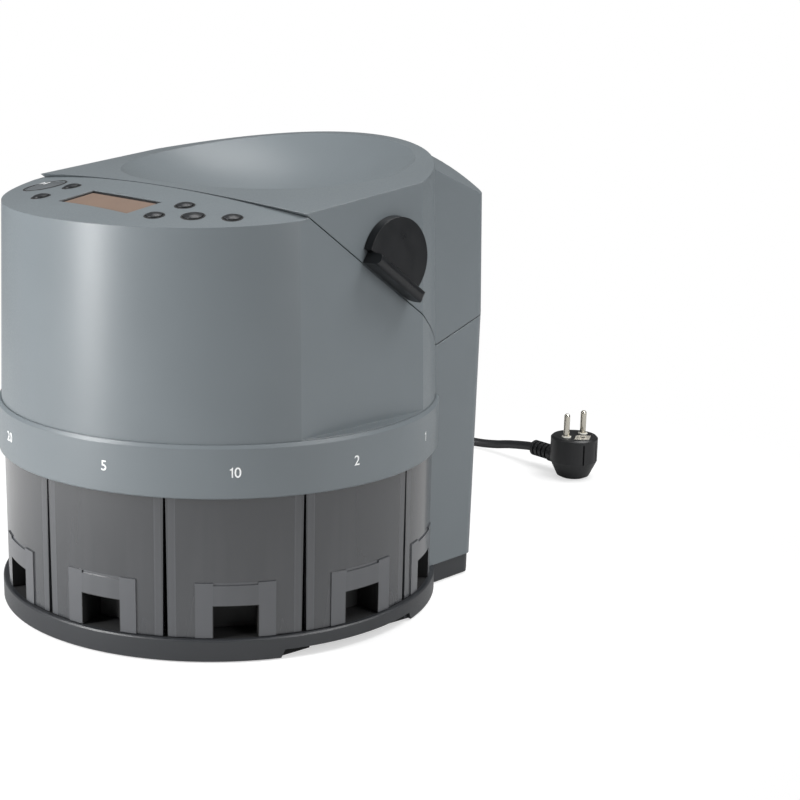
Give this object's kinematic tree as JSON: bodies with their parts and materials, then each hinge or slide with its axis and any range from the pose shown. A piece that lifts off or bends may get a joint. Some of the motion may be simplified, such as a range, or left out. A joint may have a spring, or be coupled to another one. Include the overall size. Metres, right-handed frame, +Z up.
{
  "type": "coin sorter",
  "caption": "Desktop coin sorter: a hinged hopper over a turning sorting disc drops coins by size into pull-out wedge drawers around a drum, with a display, keys, a latch knob and a mains cord.",
  "frame": {"origin": "on the drum axis, on the surface that the sorter stands on", "axes": "+Z up, -Y towards the person at the control panel, +X to the side with the latch knob"},
  "size_m": [0.3023, 0.5295, 0.2867],
  "materials": {
    "base_plastic": "fine moulded texture",
    "rubber": "matt",
    "housing_plastic": "satin spark-eroded texture",
    "inner_plastic": "plain moulded",
    "smoke_plastic": "smoke tinted, moulded",
    "white_plastic": "plain moulded",
    "black_plastic": "fine moulded texture",
    "key_plastic": "satin",
    "start_plastic": "satin",
    "steel": "turned",
    "board": "lacquered",
    "display": "polished",
    "cord_jacket": "matt",
    "pin_metal": "nickel plated"
  },
  "bodies": {
    "frame": {"base_tray": "base_plastic", "rubber_feet": "rubber", "label_ring": "housing_plastic", "chute_plate": "inner_plastic", "centre_core": "inner_plastic", "main_housing": "housing_plastic", "rear_cover": "housing_plastic", "electronics_tray": "inner_plastic", "hinge_pin": "steel", "sorting_deck": "inner_plastic", "drive_motor": "steel", "coin_counter": "black_plastic", "panel_board": "board", "lcd_module": "black_plastic", "lcd_window": "display", "power_unit": "black_plastic", "main_board": "board", "screws": "steel", "cord_gland": "rubber", "cord_lead": "cord_jacket", "cord_coil": "cord_jacket", "cord_tie": "black_plastic", "cord_tail": "cord_jacket", "plug_body": "cord_jacket", "plug_pins": "pin_metal", "plug_earth": "pin_metal"},
    "cover": {"hopper_cover": "housing_plastic"},
    "latch": {"latch_knob": "black_plastic", "latch_cam": "black_plastic"},
    "rotor": {"sorting_disc": "white_plastic", "drive_shaft": "steel", "drive_gear": "white_plastic"},
    "pinion": {"motor_pinion": "steel"},
    "drawer_1": {"drawer_1": "smoke_plastic"},
    "drawer_2": {"drawer_2": "smoke_plastic"},
    "drawer_3": {"drawer_3": "smoke_plastic"},
    "drawer_4": {"drawer_4": "smoke_plastic"},
    "drawer_5": {"drawer_5": "smoke_plastic"},
    "drawer_6": {"drawer_6": "smoke_plastic"},
    "drawer_7": {"drawer_7": "smoke_plastic"},
    "drawer_8": {"drawer_8": "smoke_plastic"},
    "key_start": {"key_start": "start_plastic"},
    "key_1": {"key_1": "key_plastic"},
    "key_2": {"key_2": "key_plastic"},
    "key_3": {"key_3": "key_plastic"},
    "key_4": {"key_4": "key_plastic"},
    "key_5": {"key_5": "key_plastic"},
    "key_6": {"key_6": "key_plastic"}
  },
  "joints": [
    {"name": "cover_hinge", "type": "hinge", "parent": "frame", "child": "cover", "pos_m": [0, 0.1407, 0.17841], "axis": [-1, 0, 0], "range_deg": [0, 65]},
    {"name": "latch_turn", "type": "hinge", "parent": "cover", "child": "latch", "pos_m": [0.12434, 0.0243, 0.22781], "axis": [-0.9995, 0, -0.0305], "range_deg": [0, 90]},
    {"name": "drawer_1_slide", "type": "slide", "parent": "frame", "child": "drawer_1", "axis": [-0.889, 0.4579, 0], "range_m": [0, 0.07]},
    {"name": "drawer_2_slide", "type": "slide", "parent": "frame", "child": "drawer_2", "axis": [-0.9979, -0.0654, 0], "range_m": [0, 0.07]},
    {"name": "drawer_3_slide", "type": "slide", "parent": "frame", "child": "drawer_3", "axis": [-0.7853, -0.6191, 0], "range_m": [0, 0.07]},
    {"name": "drawer_4_slide", "type": "slide", "parent": "frame", "child": "drawer_4", "axis": [-0.2965, -0.955, 0], "range_m": [0, 0.07]},
    {"name": "drawer_5_slide", "type": "slide", "parent": "frame", "child": "drawer_5", "axis": [0.2965, -0.955, 0], "range_m": [0, 0.07]},
    {"name": "drawer_6_slide", "type": "slide", "parent": "frame", "child": "drawer_6", "axis": [0.7853, -0.6191, 0], "range_m": [0, 0.07]},
    {"name": "drawer_7_slide", "type": "slide", "parent": "frame", "child": "drawer_7", "axis": [0.9979, -0.0654, 0], "range_m": [0, 0.07]},
    {"name": "drawer_8_slide", "type": "slide", "parent": "frame", "child": "drawer_8", "axis": [0.889, 0.4579, 0], "range_m": [0, 0.07]},
    {"name": "rotor_spin", "type": "hinge", "parent": "frame", "child": "rotor", "pos_m": [0, 0, 0.11], "axis": [0, 0, 1], "continuous": true},
    {"name": "pinion_spin", "type": "hinge", "parent": "frame", "child": "pinion", "pos_m": [0, 0.03, 0.108], "axis": [0, 0, 1], "continuous": true},
    {"name": "key_start_press", "type": "slide", "parent": "frame", "child": "key_start", "axis": [0.1013, 0.1659, -0.9809], "range_m": [0, 0.0012], "stiffness_N_per_m": 400},
    {"name": "key_1_press", "type": "slide", "parent": "frame", "child": "key_1", "axis": [0.0651, 0.1664, -0.9839], "range_m": [0, 0.0012], "stiffness_N_per_m": 400},
    {"name": "key_2_press", "type": "slide", "parent": "frame", "child": "key_2", "axis": [0.0625, 0.1664, -0.9841], "range_m": [0, 0.0012], "stiffness_N_per_m": 400},
    {"name": "key_3_press", "type": "slide", "parent": "frame", "child": "key_3", "axis": [-0.0701, 0.1664, -0.9836], "range_m": [0, 0.0012], "stiffness_N_per_m": 400},
    {"name": "key_4_press", "type": "slide", "parent": "frame", "child": "key_4", "axis": [-0.0701, 0.1664, -0.9836], "range_m": [0, 0.0012], "stiffness_N_per_m": 400},
    {"name": "key_5_press", "type": "slide", "parent": "frame", "child": "key_5", "axis": [-0.0937, 0.166, -0.9817], "range_m": [0, 0.0012], "stiffness_N_per_m": 400},
    {"name": "key_6_press", "type": "slide", "parent": "frame", "child": "key_6", "axis": [-0.1177, 0.1656, -0.9791], "range_m": [0, 0.0012], "stiffness_N_per_m": 400}
  ],
  "couplings": [
    {"joint": "pinion_spin", "follows": "rotor_spin", "ratio": -3}
  ]
}
